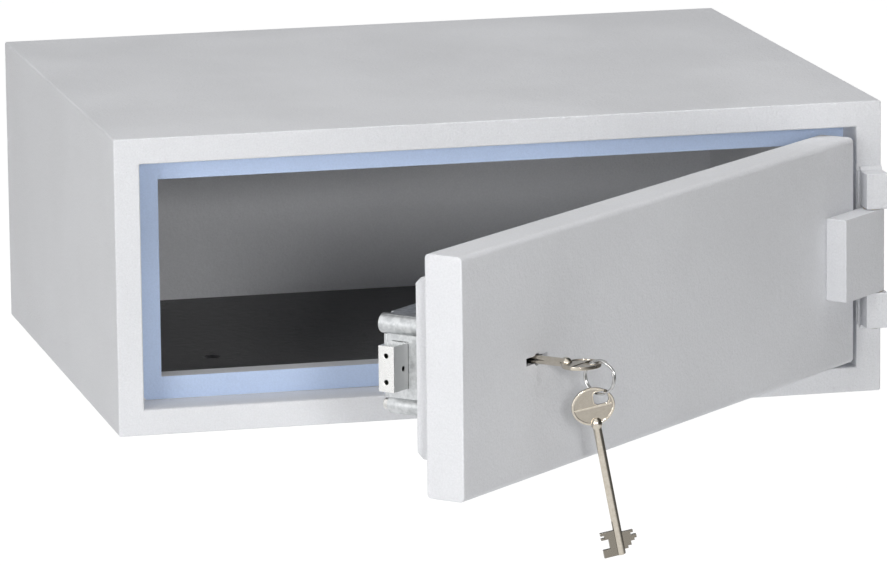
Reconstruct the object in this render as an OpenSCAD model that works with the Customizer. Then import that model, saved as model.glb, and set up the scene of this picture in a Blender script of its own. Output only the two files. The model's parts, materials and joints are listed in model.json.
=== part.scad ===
// Furniture safe: a low, wide steel box for a cupboard shelf, with a front door on an
// outside hinge, a double-bit lever lock and two keys on a split ring.
// X runs right, Y runs back and Z up. The origin is the middle of the body's base.

/* [Body] */
// Width of the body
body_w = 500; // [470:5:600]
// Depth of the body, hinge left out
body_d = 400; // [300:5:450]
// Height of the body
body_h = 190; // [180:2:260]
// Thickness of the folded body sheet
sheet = 3; // [2:0.5:4]
// Outer radius of the body's long folds
fold_r = 1.5; // [1:0.5:5]
// Width of the face frame round the opening
face_w = 16.5; // [15.5:0.5:22]

/* [Door frame] */
// Depth from the front face to the stop that the door closes on
rebate_d = 27; // [26.8:0.2:32]
// Width of the stop above and below the opening
stop_w = 15; // [10:0.5:17]
// Width of the stop on the lock side
stop_lock_w = 16.5; // [14:0.5:18]
// Depth of the flange that turns in behind the stop
return_d = 15; // [8:0.5:16]
// Thickness of the frame's sheet
frame_t = 2; // [1.5:0.5:2.5]
// Thickness of the strip that lines the stop
strip_t = 0.8; // [0.5:0.1:1]
// Joint left open round the strip
strip_joint = 0.6; // [0.3:0.1:1]
// Leg of the corner cut off the strip
strip_cut = 6; // [3:0.5:8]
// Height of the keeper that the bolt shoots behind
keeper_h = 72; // [50:2:80]
// Thickness of the keeper
keeper_t = 4; // [3:0.5:6]

/* [Back, floor and anchor holes] */
// Thickness of the floor mat
mat_t = 2.5; // [1:0.5:4]
// Gap from the mat to the walls
mat_gap = 2; // [1:0.5:6]
// Diameter of the anchor holes
anchor_d = 11; // [8:0.5:14]
// Distance between the two holes of a pair
anchor_pitch = 300; // [200:10:340]

/* [Door] */
// Angle at which the door stands open
door_open = 43.5; // [10:0.5:80]
// Thickness of the door's edge
door_t = 26; // [24:0.5:26]
// Thickness of the door's front plate
plate_t = 4; // [3:0.5:5]
// Thickness of the door's flanges
flange_t = 3; // [2:0.5:3]
// Outer radius of the folds along the door's top and bottom
door_fold_r = 3.5; // [3.5:0.5:6]
// Outer radius of the folds along the edges of the door's inner side
door_back_r = 3; // [1:0.5:4]
// Gap above and below the closed door
gap_v = 5; // [3:0.5:6]
// Gap beside the closed door on the hinge side
gap_hinge = 2.4; // [2:0.2:4]
// Gap beside the closed door on the lock side
gap_lock = 3.6; // [3:0.2:5]
// Depth of the pan on the door's inner side
pan_d = 18; // [14:0.5:18]
// Distance of the pan from the door's free edge
pan_inset = 17.3; // [17.3:0.2:22]
// Distance of the pan from the door's hinge edge
pan_hinge_inset = 24; // [22:1:40]
// Distance of the pan from the door's top and bottom
pan_edge = 18.5; // [16:0.5:22]
// Thickness of the pan's sheet
pan_t = 2; // [1.5:0.5:2.5]
// Size of the chamfer along the pan's long edges
pan_chamfer = 4; // [2:0.5:6]
// Thickness of the hardened plate in front of the lock
guard_t = 3; // [2:0.5:4]

/* [Hinge] */
// Diameter of the hinge pin
pin_d = 8; // [6:0.5:9]
// Distance of the pin's axis in front of the face frame
axis_out = 7.8; // [7.6:0.1:9]
// Distance of the pin's axis from the body's side
axis_in = 7.7; // [7.5:0.1:7.9]
// Height of the hinge arm on the door
arm_h = 53.5; // [40:0.5:60]
// Length of the arm, from its end to the pin's axis
arm_l = 47; // [35:1:60]
// Height of each block on the face frame
block_h = 23; // [18:0.5:28]
// Thickness of the washers between arm and blocks
washer_t = 0.6; // [0.4:0.1:1]
// Running clearance on the pin's radius
pin_fit = 0.05; // [0.02:0.01:0.1]
// Height of the dog bar behind the frame on the hinge side
dog_h = 70; // [40:5:90]
// Length of the dog bar's foot on the pan
dog_l = 40; // [25:1:60]

/* [Lock] */
// Distance of the keyhole from the door's free edge
key_in = 81.3; // [76:0.5:95]
// Drop of the key's axis below the middle of the door
key_drop = 1.8; // [0:0.2:4]
// Drop of the lock's middle below the key's axis
lock_drop = 1.9; // [1:0.1:2.5]
// Length of the lock case
case_l = 85; // [84:0.5:92]
// Height of the lock case
case_h = 60; // [59:0.5:66]
// Depth of the lock case on the pan
case_d = 34.5; // [31.5:0.5:36]
// Wall of the lock case
case_wall = 2.5; // [2:0.25:2.75]
// How far the two screw bosses next to the bolt stand out of the case's wall
ear_out = 4; // [2:0.5:4.5]
// Distance of the lock case from the door's free edge
case_in = 35; // [34:0.5:38]
// Height of the bolt's head
bolt_h = 28; // [20:1:30]
// Thickness of the bolt's head
bolt_t = 11; // [9:0.5:12]
// How far the drawn-back bolt stands out of the case
bolt_out = 15.5; // [12:0.5:16]
// Travel of the bolt
bolt_throw = 14; // [11:0.5:14]
// Running clearance round the bolt
bolt_fit = 0.1; // [0.05:0.05:0.3]
// Number of levers in the lock
lever_n = 5; // [3:1:5]
// Thickness of a lever
lever_t = 1.2; // [0.9:0.1:1.2]

/* [Keys] */
// How far the key's tip reaches into the lock case
key_reach = 17.5; // [17:0.1:18]
// How far the key stands out of the door
key_out = 42.5; // [42:0.5:44]
// Diameter of the key's shank
shank_d = 5.2; // [4.6:0.1:5.4]
// Width over the key's two bits
bit_w = 21.4; // [18:0.2:22]
// Thickness of the bits
bit_t = 2.4; // [1.8:0.1:2.6]
// Width of the key's bow
bow_w = 26.4; // [26:0.2:30]
// Length of the key's bow
bow_l = 23; // [20:0.5:24]
// Thickness of the bow
bow_t = 2.2; // [1.8:0.1:2.4]
// Rim left between the bow's hole and its far edge
bow_rim = 2.4; // [2:0.1:3]
// Mean radius of the split ring
ring_r = 10.1; // [9.5:0.05:11]
// Diameter of the ring's wire
wire_d = 1.4; // [1.2:0.1:1.6]
// Turn of the hanging spare key away from the door's direction
spare_turn = -46; // [-55:1:-20]
// Sideways lean of the hanging spare key
spare_lean = 10.5; // [5:0.5:14]

/* [Hidden] */
$fn = 48;
eps = 0.02;

// Places on the body
front_y = -body_d / 2;
open_w = body_w - 2 * face_w;
open_h = body_h - 2 * face_w;
open_x = open_w / 2;
stop_y = front_y + rebate_d + strip_t;
return_y = stop_y + return_d;
mid_z = body_h / 2;
return_lock_x = -open_x + stop_lock_w;
return_hinge_x = open_x - stop_w;
mat_y = return_y + mat_gap;
anchor_back_z = mid_z;

// Places on the closed door
axis_x = body_w / 2 - axis_in;
axis_y = front_y - axis_out;
door_x0 = -open_x + gap_lock;
door_x1 = open_x - gap_hinge;
door_w = door_x1 - door_x0;
door_h = open_h - 2 * gap_v;
door_z0 = face_w + gap_v;
inner_y = front_y + door_t;
pan_x0 = door_x0 + pan_inset;
pan_x1 = door_x1 - pan_hinge_inset;
pan_z0 = door_z0 + pan_edge;
pan_h = door_h - 2 * pan_edge;
pan_y = inner_y + pan_d;

// Hinge
arm_gap = 0.7;
arm_round = axis_out - arm_gap;
arm_z0 = mid_z - arm_h / 2;
block_trim = 1;
block_in = axis_in - block_trim;
block_w = axis_in + block_in;
block_lead = 2.1;
block_proud = axis_out + arm_round + block_lead;
block_step = arm_h / 2 + washer_t;
pin_head_h = 1.2;
pin_cap = 3;
weld_r = 2.7;
side_weld_r = 1.6;

// Lock
key_x = door_x0 + key_in;
key_z = mid_z - key_drop;
case_x0 = door_x0 + case_in;
case_x1 = case_x0 + case_l;
lock_z = key_z - lock_drop;
case_z0 = lock_z - case_h / 2;
case_y1 = pan_y + case_d;
cover_t = 2.5;
bolt_room = 3.7;
cavity_y0 = pan_y + case_wall;
cavity_y1 = case_y1 - cover_t;
ear_r = 6;
ear_small_r = 5;
ear_long = 1.5;
ear_short = 3.5;
screw_r = 2;
screw_head_r = 3.4;
cover_screw_l = 7;
cover_hole_l = 8;
bit_room = 0.5;
sweep_r = bit_w / 2 + bit_room;
hub_r = sweep_r + 0.6;
curtain_t = 1.4;
curtain_r = hub_r + 1.6;
curtain_gap = 0.1;
pan_hole_gap = 1;
lever_y0 = cavity_y0 + curtain_t + 2 * curtain_gap + 0.2;
lever_pitch = lever_t + 0.35;
pack_y1 = lever_y0 + lever_n * lever_pitch;
tail_t = 5;
tail_y = pack_y1 + 0.3;
bolt_y1 = cavity_y1 - bolt_room;
bolt_y0 = bolt_y1 - bolt_t;
tail_y1 = max(tail_y + tail_t, bolt_y0 + 2);
tail_low = 17;
tail_high = 3;
tail_x0 = case_x0 + case_wall + bolt_throw + 0.5;
tail_x1 = key_x + sweep_r + bolt_throw + 5;
window_gap = 0.6;
stump_r = 2;
pivot_r = 2.4;
lever_h = 8.4;
pivot_in = 10.5;
pivot_x = key_x + sweep_r + pivot_in;
pivot_z = key_z + sweep_r + window_gap + lever_h / 2;
stump_x = key_x - sweep_r - 3;
stump_z = pivot_z + 0.6;
gate_gap = 0.7;
post_r = 3.2;
keeper_y1 = bolt_y0 - 0.6;

// Keys
key_len = key_out + door_t + pan_d + key_reach;
bow_mid = bow_l / 2;
bow_end_r = bow_mid - 1.5;
collar_r = shank_d / 2 + 0.9;
bit_l = 15.5;
right_bit_low = 3;
right_bit_top = 13.5;
hole_w = 9;
hole_h = 7.6;
hole_corner = 2.4;
hole_in = 5.5;
rim_r = sqrt(pow(bow_rim, 2) + pow(bow_t, 2)) / 2;
ring_fit = 0.1;
hang_fit = 1;
ring_inner = ring_r - wire_d / 2;
hole_far = bow_mid * sqrt(1 - pow(hole_in / (bow_w / 2), 2)) - bow_rim;
rim_mid = hole_far + bow_rim / 2;
ring_x = key_x + hole_in;
ring_y = front_y - key_out + bow_mid - rim_mid;
ring_z = key_z - (ring_inner - rim_r - ring_fit);
hang_z = ring_z - ring_inner;
coil_gap = 0.1;

// Puts children that are drawn with the door shut where the open door holds them
module on_door() {
    translate([axis_x, axis_y, 0])
        rotate([0, 0, door_open])
            translate([-axis_x, -axis_y, 0])
                children();
}

// A box between two corners
module span(low, high) {
    translate(low) cube(high - low);
}

// A cylinder that runs back from a point
module rod_back(at, length, radius, low_radius = 0) {
    translate(at)
        rotate([-90, 0, 0])
            cylinder(h = length, r1 = low_radius > 0 ? low_radius : radius, r2 = radius);
}

// A cylinder that runs up from a point
module rod_up(at, length, radius) {
    translate(at) cylinder(h = length, r = radius);
}

// A rectangle with round corners, in the plane of the page
module round_rect(width, height, radius) {
    square([width, height - 2 * radius], center = true);
    square([width - 2 * radius, height], center = true);
    for (x = [-1, 1], z = [-1, 1])
        translate([x * (width / 2 - radius), z * (height / 2 - radius)])
            circle(r = radius);
}

// A prism that runs back, with its section drawn as X and Z
module prism_back(y, length) {
    translate([0, y + length, 0])
        rotate([90, 0, 0])
            linear_extrude(height = length)
                children();
}

module anchor_pair_floor(z, height) {
    for (side = [-1, 1])
        rod_up([side * anchor_pitch / 2, 0, z - eps], height + 2 * eps, anchor_d / 2);
}

// Body

module outer_shell() {
    color("gainsboro")
        difference() {
            prism_back(front_y, body_d)
                translate([0, mid_z])
                    round_rect(body_w, body_h, fold_r);
            span([sheet - body_w / 2, front_y + sheet, sheet],
                [body_w / 2 - sheet, body_d / 2 + eps, body_h - sheet]);
            span([-open_x, front_y - eps, face_w],
                [open_x, front_y + sheet + eps, body_h - face_w]);
            anchor_pair_floor(0, sheet);
        }
}

module back_panel() {
    color("gainsboro")
        difference() {
            span([sheet - body_w / 2, body_d / 2 - sheet, sheet],
                [body_w / 2 - sheet, body_d / 2, body_h - sheet]);
            for (side = [-1, 1])
                rod_back([side * anchor_pitch / 2, body_d / 2 - sheet - eps, anchor_back_z],
                    sheet + 2 * eps, anchor_d / 2);
        }
}

module rebate_frame() {
    back = stop_y + frame_t;
    color("whitesmoke")
        difference() {
            union() {
                span([-open_x - frame_t, front_y + sheet, face_w - frame_t],
                    [open_x + frame_t, back, body_h - face_w + frame_t]);
                span([return_lock_x - frame_t, stop_y, face_w + stop_w - frame_t],
                    [return_hinge_x + frame_t, return_y, body_h - face_w - stop_w + frame_t]);
            }
            span([-open_x, front_y, face_w], [open_x, stop_y, body_h - face_w]);
            span([return_lock_x, stop_y - eps, face_w + stop_w],
                [return_hinge_x, return_y + eps, body_h - face_w - stop_w]);
        }
}

module stop_strip() {
    low = [-open_x + strip_joint, stop_y - strip_t, face_w + strip_joint];
    high = [open_x - strip_joint, stop_y, body_h - face_w - strip_joint];
    color("lightsteelblue")
        difference() {
            span(low, high);
            span([return_lock_x, low[1] - eps, face_w + stop_w],
                [return_hinge_x, high[1] + eps, body_h - face_w - stop_w]);
            prism_back(low[1] - eps, strip_t + 2 * eps)
                polygon([[low[0] - eps, low[2] - eps], [low[0] + strip_cut, low[2] - eps],
                    [low[0] - eps, low[2] + strip_cut]]);
        }
}

// A welded angle behind the lock side of the frame, which the bolt shoots behind
module bolt_keeper() {
    wall_x = sheet - body_w / 2;
    z0 = lock_z - keeper_h / 2;
    color("silver") {
        span([wall_x, keeper_y1 - keeper_t, z0], [return_lock_x, keeper_y1, z0 + keeper_h]);
        span([return_lock_x - keeper_t, return_y, z0],
            [return_lock_x, keeper_y1 - keeper_t + eps, z0 + keeper_h]);
    }
}

module floor_mat() {
    color("dimgray")
        difference() {
            span([sheet + mat_gap - body_w / 2, mat_y, sheet],
                [body_w / 2 - sheet - mat_gap, body_d / 2 - sheet - mat_gap, sheet + mat_t]);
            anchor_pair_floor(sheet, mat_t);
        }
}

// One block of the hinge, with its beads of weld against the face frame
module hinge_block(z, weld_z, bore_h) {
    x0 = axis_x - block_in;
    color("gainsboro")
        difference() {
            union() {
                span([x0, front_y - block_proud, z], [x0 + block_w, front_y, z + block_h]);
                intersection() {
                    translate([x0, front_y, weld_z])
                        rotate([0, 90, 0])
                            cylinder(h = block_w, r = weld_r);
                    span([x0, front_y - weld_r, weld_z - weld_r],
                        [x0 + block_w, front_y, weld_z + weld_r]);
                }
                intersection() {
                    rod_up([x0, front_y, z], block_h, side_weld_r);
                    span([x0 - side_weld_r, front_y - side_weld_r, z], [x0 + 1, front_y, z + block_h]);
                }
            }
            rod_up([axis_x, axis_y, z - eps], bore_h, pin_d / 2);
        }
}

module hinge_block_upper() {
    z = mid_z + block_step;
    hinge_block(z, z + block_h, block_h - pin_cap + eps);
}

module hinge_block_lower() {
    z = mid_z - block_step - block_h;
    hinge_block(z, z, block_h + 2 * eps);
}

// The pin goes in from below, and ends under the upper block's closed top
module hinge_pin() {
    foot_z = mid_z - block_step - block_h;
    color("silver") {
        rod_up([axis_x, axis_y, foot_z], 2 * (block_step + block_h) - pin_cap, pin_d / 2);
        rod_up([axis_x, axis_y, foot_z - pin_head_h], pin_head_h, pin_d / 2 + 1);
    }
}

module hinge_washers() {
    color("goldenrod")
        for (z = [mid_z - block_step, mid_z + arm_h / 2])
            difference() {
                rod_up([axis_x, axis_y, z], washer_t, arm_round - 0.6);
                rod_up([axis_x, axis_y, z - eps], washer_t + 2 * eps, pin_d / 2 + pin_fit);
            }
}

// Door

// The door's section: a tray with round folds along its top and bottom, front and back
module door_section(grow_y, wall, front_r, back_r) {
    y0 = front_y + grow_y;
    z0 = door_z0 + wall;
    height = door_h - 2 * wall;
    depth = inner_y - y0;
    translate([y0 + front_r, z0]) square([depth - front_r - back_r, height]);
    translate([y0, z0 + front_r]) square([depth - back_r, height - 2 * front_r]);
    translate([y0 + front_r, z0 + back_r]) square([depth - front_r, height - 2 * back_r]);
    for (z = [z0 + front_r, z0 + height - front_r])
        translate([y0 + front_r, z]) circle(r = front_r);
    if (back_r > 0)
        for (z = [z0 + back_r, z0 + height - back_r])
            translate([inner_y - back_r, z]) circle(r = back_r);
}

// A prism that runs right, with its section drawn as Y and Z
module prism_right(x, length) {
    translate([x, 0, 0])
        rotate([90, 0, 90])
            linear_extrude(height = length)
                children();
}

module keyhole(y, length, play) {
    slot_w = bit_w + 2 * play;
    slot_h = bit_t + 2 * play;
    span([key_x - slot_w / 2, y, key_z - slot_h / 2], [key_x + slot_w / 2, y + length, key_z + slot_h / 2]);
    rod_back([key_x, y, key_z], length, shank_d / 2 + play);
}

module door_panel() {
    inner_r = door_fold_r - flange_t;
    lip = pan_edge + 4;
    color("lightgray")
        on_door()
            difference() {
                prism_right(door_x0, door_w) door_section(0, 0, door_fold_r, door_back_r);
                intersection() {
                    prism_right(door_x0 + flange_t, door_w - 2 * flange_t)
                        door_section(plate_t, flange_t, inner_r, 0);
                    span([door_x0, front_y, 0], [door_x1, inner_y - flange_t, body_h]);
                }
                span([pan_x0 + 4, inner_y - flange_t - eps, door_z0 + lip],
                    [pan_x1 - 4, inner_y + eps, door_z0 + door_h - lip]);
                keyhole(front_y - eps, plate_t + 2 * eps, 1.2);
            }
}

// The pan's outer section, with chamfered long edges
module pan_section(shrink) {
    y0 = inner_y;
    y1 = pan_y - shrink;
    z0 = pan_z0 + shrink;
    z1 = pan_z0 + pan_h - shrink;
    polygon([[y0, z0], [y0, z1], [y1 - pan_chamfer, z1], [y1, z1 - pan_chamfer],
        [y1, z0 + pan_chamfer], [y1 - pan_chamfer, z0]]);
}

module door_inner_pan() {
    color("whitesmoke")
        on_door()
            difference() {
                prism_right(pan_x0, pan_x1 - pan_x0) pan_section(0);
                translate([0, -eps, 0])
                    prism_right(pan_x0 + pan_t, pan_x1 - pan_x0 - 2 * pan_t) pan_section(pan_t);
                rod_back([key_x, pan_y - pan_t - eps, key_z], pan_t + 2 * eps, curtain_r + pan_hole_gap);
                for (at = case_screws())
                    rod_back([at[0], pan_y - pan_t - eps, at[1]], pan_t + 2 * eps, screw_r);
            }
}

module guard_plate() {
    y = front_y + plate_t;
    color("dimgray")
        on_door()
            difference() {
                span([case_x0, y, door_z0 + pan_edge], [case_x1, y + guard_t, door_z0 + door_h - pan_edge]);
                span([key_x - guide_w() / 2, y - eps, key_z - guide_h() / 2],
                    [key_x + guide_w() / 2, y + guard_t + eps, key_z + guide_h() / 2]);
            }
}

function guide_w() = bit_w + 6;
function guide_h() = shank_d + 6;

// The box section that leads the key from the front plate to the lock
module key_guide() {
    color("silver")
        on_door()
            difference() {
                span([key_x - guide_w() / 2, front_y + plate_t, key_z - guide_h() / 2],
                    [key_x + guide_w() / 2, pan_y - pan_t, key_z + guide_h() / 2]);
                span([key_x - bit_w / 2 - 1.4, front_y, key_z - shank_d / 2 - 1.4],
                    [key_x + bit_w / 2 + 1.4, pan_y, key_z + shank_d / 2 + 1.4]);
            }
}

// A slab welded on the door, with its end rounded about the pin
module hinge_arm() {
    color("gainsboro")
        on_door()
            difference() {
                union() {
                    span([axis_x - arm_l, axis_y - arm_round, arm_z0],
                        [axis_x, axis_y + arm_round, arm_z0 + arm_h]);
                    span([axis_x - arm_l, axis_y, arm_z0], [door_x1, front_y, arm_z0 + arm_h]);
                    rod_up([axis_x, axis_y, arm_z0], arm_h, arm_round);
                }
                rod_up([axis_x, axis_y, arm_z0 - eps], arm_h + 2 * eps, pin_d / 2 + pin_fit);
            }
}

// A fixed bar whose nose slips behind the frame on the hinge side as the door shuts
module dog_bar() {
    nose_y = return_y + 4;
    root = pan_x1 - dog_l;
    z0 = mid_z - dog_h / 2;
    color("silver")
        on_door() {
            span([root, pan_y, z0], [pan_x1 - 2, nose_y + 6, z0 + dog_h]);
            span([root, nose_y, z0], [door_x1 - 4, nose_y + 6, z0 + dog_h]);
        }
}

// Lock

// Centres of the four screws at the case's corners, as X and Z
function case_screws() = [
    for (x = [case_x0 + ear_r - ear_out, case_x1 - ear_r])
        for (z = [case_z0 + ear_small_r, case_z0 + case_h - ear_r])
            [x, z]
];

// Centres of the two screws of the cover
function cover_points() = [
    [pivot_x, case_z0 + case_h - 4.5],
    [key_x - 6, case_z0 + 5]
];

function ear_radius(at) = at[1] > lock_z ? ear_r : ear_small_r;
function ear_end(at) = at[1] > lock_z ? case_y1 + ear_long : case_y1 - ear_short;

module lock_case() {
    wall = case_wall;
    color("silver")
        on_door()
            difference() {
                union() {
                    difference() {
                        span([case_x0, pan_y, case_z0], [case_x1, cavity_y1, case_z0 + case_h]);
                        span([case_x0 + wall, cavity_y0, case_z0 + wall],
                            [case_x1 - wall, cavity_y1 + eps, case_z0 + case_h - wall]);
                    }
                    for (at = case_screws())
                        rod_back([at[0], pan_y, at[1]], ear_end(at) - pan_y, ear_radius(at));
                    rod_back([pivot_x, cavity_y0 - eps, pivot_z], pack_y1 - cavity_y0, pivot_r);
                    for (at = cover_points())
                        rod_back([at[0], cavity_y0 - eps, at[1]], cavity_y1 - cavity_y0 + eps, post_r);
                }
                for (at = case_screws()) {
                    rod_back([at[0], pan_y - eps, at[1]], case_d + ear_long + 1, screw_r);
                    ear_notch(at, ear_end(at), cavity_y1 + eps);
                }
                for (at = cover_points())
                    rod_back([at[0], cavity_y1 - cover_hole_l, at[1]], cover_hole_l + eps, screw_r);
                rod_back([key_x, pan_y - eps, key_z], case_wall + 2 * eps, hub_r + curtain_gap);
                span([case_x0 - eps, bolt_y0 - bolt_fit, lock_z - bolt_h / 2 - bolt_fit],
                    [case_x0 + wall + eps, bolt_y1 + bolt_fit, lock_z + bolt_h / 2 + bolt_fit]);
            }
}

// The square notch in a corner that an ear of the case, or its screw's head, stands in
module ear_notch(at, y0, y1) {
    r = ear_radius(at) + 0.05;
    x = at[0] < key_x ? case_x0 - 1 : at[0] - r;
    z = at[1] < lock_z ? case_z0 - 1 : at[1] - r;
    far_x = at[0] < key_x ? at[0] + r : case_x1 + 1;
    far_z = at[1] < lock_z ? at[1] + r : case_z0 + case_h + 1;
    if (y1 > y0)
        span([x, y0, z], [far_x, y1, far_z]);
}

module lock_cover() {
    color("silver")
        on_door()
            difference() {
                span([case_x0, cavity_y1, case_z0], [case_x1, case_y1, case_z0 + case_h]);
                for (at = case_screws())
                    ear_notch(at, cavity_y1 - eps, case_y1 + eps);
                for (at = cover_points())
                    rod_back([at[0], cavity_y1 - eps, at[1]], cover_t + 2 * eps, screw_r);
            }
}

// A round-headed screw whose head faces back, with a slot
module screw(at, seat_y, length, head_h) {
    slot_w = 1;
    slot_y = seat_y + head_h - 0.8;
    r = screw_head_r;
    difference() {
        union() {
            rod_back([at[0], seat_y - length, at[1]], length, screw_r);
            rod_back([at[0], seat_y, at[1]], head_h, r - 0.6, r);
        }
        span([at[0] - r, slot_y, at[1] - slot_w / 2], [at[0] + r, slot_y + 1, at[1] + slot_w / 2]);
    }
}

// The heads of the two lower screws are as tall as their shorter ears need
module lock_screws() {
    color("gainsboro")
        on_door()
            for (at = case_screws())
                screw(at, ear_end(at), ear_end(at) - pan_y + pan_t, at[1] > lock_z ? 1.6 : 4.5);
}

module cover_screws() {
    color("gainsboro")
        on_door()
            for (at = cover_points())
                screw(at, case_y1, cover_t + cover_screw_l, 1.6);
}

// The slot that a round thing needs when it runs along X
module slot_back(x0, x1, z, y, length, radius) {
    rod_back([x0, y, z], length, radius);
    rod_back([x1, y, z], length, radius);
    span([x0, y, z - radius], [x1, y + length, z + radius]);
}

module lock_bolt() {
    head_x = case_x0 - bolt_out;
    peg_y = lever_y0 - 0.1;
    side_hole_in = 10.5;
    end_hole_r = 1.5;
    end_hole_l = 9;
    color("gainsboro")
        on_door()
            difference() {
                union() {
                    span([head_x, bolt_y0, lock_z - bolt_h / 2],
                        [tail_x0 + 4, bolt_y1, lock_z + bolt_h / 2]);
                    span([tail_x0, tail_y, lock_z - tail_low],
                        [tail_x1, tail_y1, key_z + sweep_r + window_gap + tail_high]);
                    span([stump_x - 4, tail_y, key_z], [stump_x + 5, tail_y1, stump_z + 3.5]);
                    rod_back([stump_x, peg_y, stump_z], tail_y - peg_y + 1, stump_r);
                }
                slot_back(key_x, key_x + bolt_throw, key_z, tail_y - 1, bolt_y1 - tail_y + 2,
                    sweep_r + window_gap);
                for (z = [-1, 1])
                    translate([head_x - eps, (bolt_y0 + bolt_y1) / 2, lock_z + z * 8])
                        rotate([0, 90, 0])
                            cylinder(h = end_hole_l, r = end_hole_r);
                rod_back([head_x + side_hole_in, bolt_y0 - eps, lock_z - 1], 6, 1.6);
            }
}

// A flanged barrel round the key's shank, which turns with the key and shuts the keyhole
module lock_curtain() {
    color("goldenrod")
        on_door()
            difference() {
                union() {
                    rod_back([key_x, pan_y + 0.3, key_z], cavity_y0 - pan_y, hub_r);
                    rod_back([key_x, cavity_y0 + curtain_gap, key_z], curtain_t, curtain_r);
                }
                keyhole(pan_y - 1, case_wall + curtain_t + 3, 0.15);
            }
}

// One lever, lying over the key: a bar with a gate that the bolt's stump runs through
module lever(y) {
    left_x = stump_x - bolt_throw - stump_r - 2.5;
    pocket = stump_r + gate_gap;
    difference() {
        union() {
            rod_back([pivot_x, y, pivot_z], lever_t, lever_h / 2);
            span([left_x, y, pivot_z - lever_h / 2], [pivot_x, y + lever_t, pivot_z + lever_h / 2]);
            span([left_x, y, key_z + 5], [key_x - sweep_r * 0.7, y + lever_t, pivot_z]);
        }
        rod_back([pivot_x, y - eps, pivot_z], lever_t + 2 * eps, pivot_r + 0.05);
        rod_back([key_x, y - eps, key_z], lever_t + 2 * eps, sweep_r + window_gap);
        slot_back(stump_x - bolt_throw, stump_x, stump_z, y - eps, lever_t + 2 * eps, stump_r + 0.2);
        for (x = [stump_x - bolt_throw, stump_x])
            span([x - pocket, y - eps, stump_z - stump_r - 0.4 - (stump_x - x < 1 ? 2.4 : 3.8)],
                [x + pocket, y + lever_t + eps, stump_z + stump_r + 0.2]);
    }
}

module lock_levers() {
    color("goldenrod")
        on_door()
            for (i = [0:lever_n - 1])
                lever(lever_y0 + i * lever_pitch);
}

// A bent strip on each lever, which presses against the top of the case
module lever_springs() {
    root_x = pivot_x - 5;
    tip_x = key_x - 8;
    seat_z = pivot_z + lever_h / 2;
    spring_w = lever_t - 0.4;
    color("gainsboro")
        on_door()
            for (i = [0:lever_n - 1])
                prism_back(lever_y0 + i * lever_pitch + 0.2, spring_w)
                    polygon([[root_x, seat_z], [root_x - 4, seat_z], [tip_x, seat_z + 2.2],
                        [tip_x, seat_z + 2.6], [root_x - 4, seat_z + 0.5], [root_x, seat_z + 0.5]]);
}

// Keys

// A key with its far bow end at the origin, running along -Z, and its flat in the XZ plane
module key_shape() {
    bow_z = -bow_mid;
    collar_z = -bow_l + 0.6;
    bit_y = bit_t / 2;
    tip = -key_len;
    reach = bit_w / 2;
    difference() {
        union() {
            translate([0, bow_t / 2, bow_z])
                rotate([90, 0, 0])
                    linear_extrude(height = bow_t)
                        bow_outline();
            translate([0, 0, collar_z]) sphere(r = collar_r);
            translate([0, 0, tip]) cylinder(h = key_len - bow_l + 1, r = shank_d / 2);
            span([-reach, -bit_y, tip], [0, bit_y, tip + bit_l]);
            span([0, -bit_y, tip + right_bit_low], [reach, bit_y, tip + right_bit_top]);
        }
        bit_steps(tip, reach, bit_y + 1);
    }
}

// The bow: an oval with a ring hole near one shoulder
module bow_outline() {
    difference() {
        bow_oval();
        translate([hole_in, hole_far - hole_h / 2])
            round_rect(hole_w, hole_h, hole_corner);
    }
}

// An oval of four arcs that run smoothly into one another
module bow_oval() {
    end_x = bow_w / 2 - bow_end_r;
    flank_r = (pow(end_x, 2) + pow(bow_mid, 2) - pow(bow_end_r, 2)) / (2 * (bow_mid - bow_end_r));
    drop = flank_r - bow_mid;
    join_x = flank_r * end_x / (flank_r - bow_end_r);
    intersection() {
        translate([0, -drop]) circle(r = flank_r);
        translate([0, drop]) circle(r = flank_r);
        square([2 * join_x, bow_l], center = true);
    }
    for (side = [-1, 1])
        translate([side * end_x, 0]) circle(r = bow_end_r);
}

// The steps cut into the bits, each as a place from the tip, a length and a depth
LEFT_STEPS = [[5, 6, 4.4], [12.2, 1.5, 2.2]];
RIGHT_STEPS = [[2, 2.5, 6], [4.5, 2.5, 3.8], [7, 1.3, 1.5], [10.5, 1.5, 3.3], [12, 2.5, 1.6]];

module bit_steps(tip, reach, half) {
    for (cut = LEFT_STEPS)
        span([-reach - 1, -half, tip + cut[0]], [cut[2] - reach, half, tip + cut[0] + cut[1]]);
    for (cut = RIGHT_STEPS)
        span([reach - cut[2], -half, tip + cut[0]], [reach + 1, half, tip + cut[0] + cut[1]]);
}

module key() {
    color("tan")
        on_door()
            translate([key_x, front_y - key_out, key_z])
                rotate([90, 0, 0])
                    key_shape();
}

// The split ring: two coils of wire lying side by side
module key_ring() {
    color("silver")
        on_door()
            translate([ring_x, ring_y, ring_z])
                rotate([0, 90, 0])
                    rotate_extrude() {
                        translate([ring_r, 0])
                            square([wire_d / 2, wire_d + coil_gap], center = true);
                        for (side = [-1, 1])
                            translate([ring_r, side * (wire_d + coil_gap) / 2])
                                circle(r = wire_d / 2);
                    }
}

module spare_key() {
    color("tan")
        on_door()
            translate([ring_x, ring_y, hang_z])
                rotate([0, 0, spare_turn])
                    rotate([0, -spare_lean, 0])
                        translate([-hole_in, 0, bow_mid - hole_far + hang_fit])
                            key_shape();
}

outer_shell();
back_panel();
rebate_frame();
stop_strip();
bolt_keeper();
floor_mat();
hinge_block_upper();
hinge_block_lower();
hinge_pin();
hinge_washers();
door_panel();
door_inner_pan();
guard_plate();
key_guide();
hinge_arm();
dog_bar();
lock_case();
lock_cover();
lock_screws();
cover_screws();
lock_bolt();
lock_curtain();
lock_levers();
lever_springs();
key();
key_ring();
spare_key();
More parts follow.
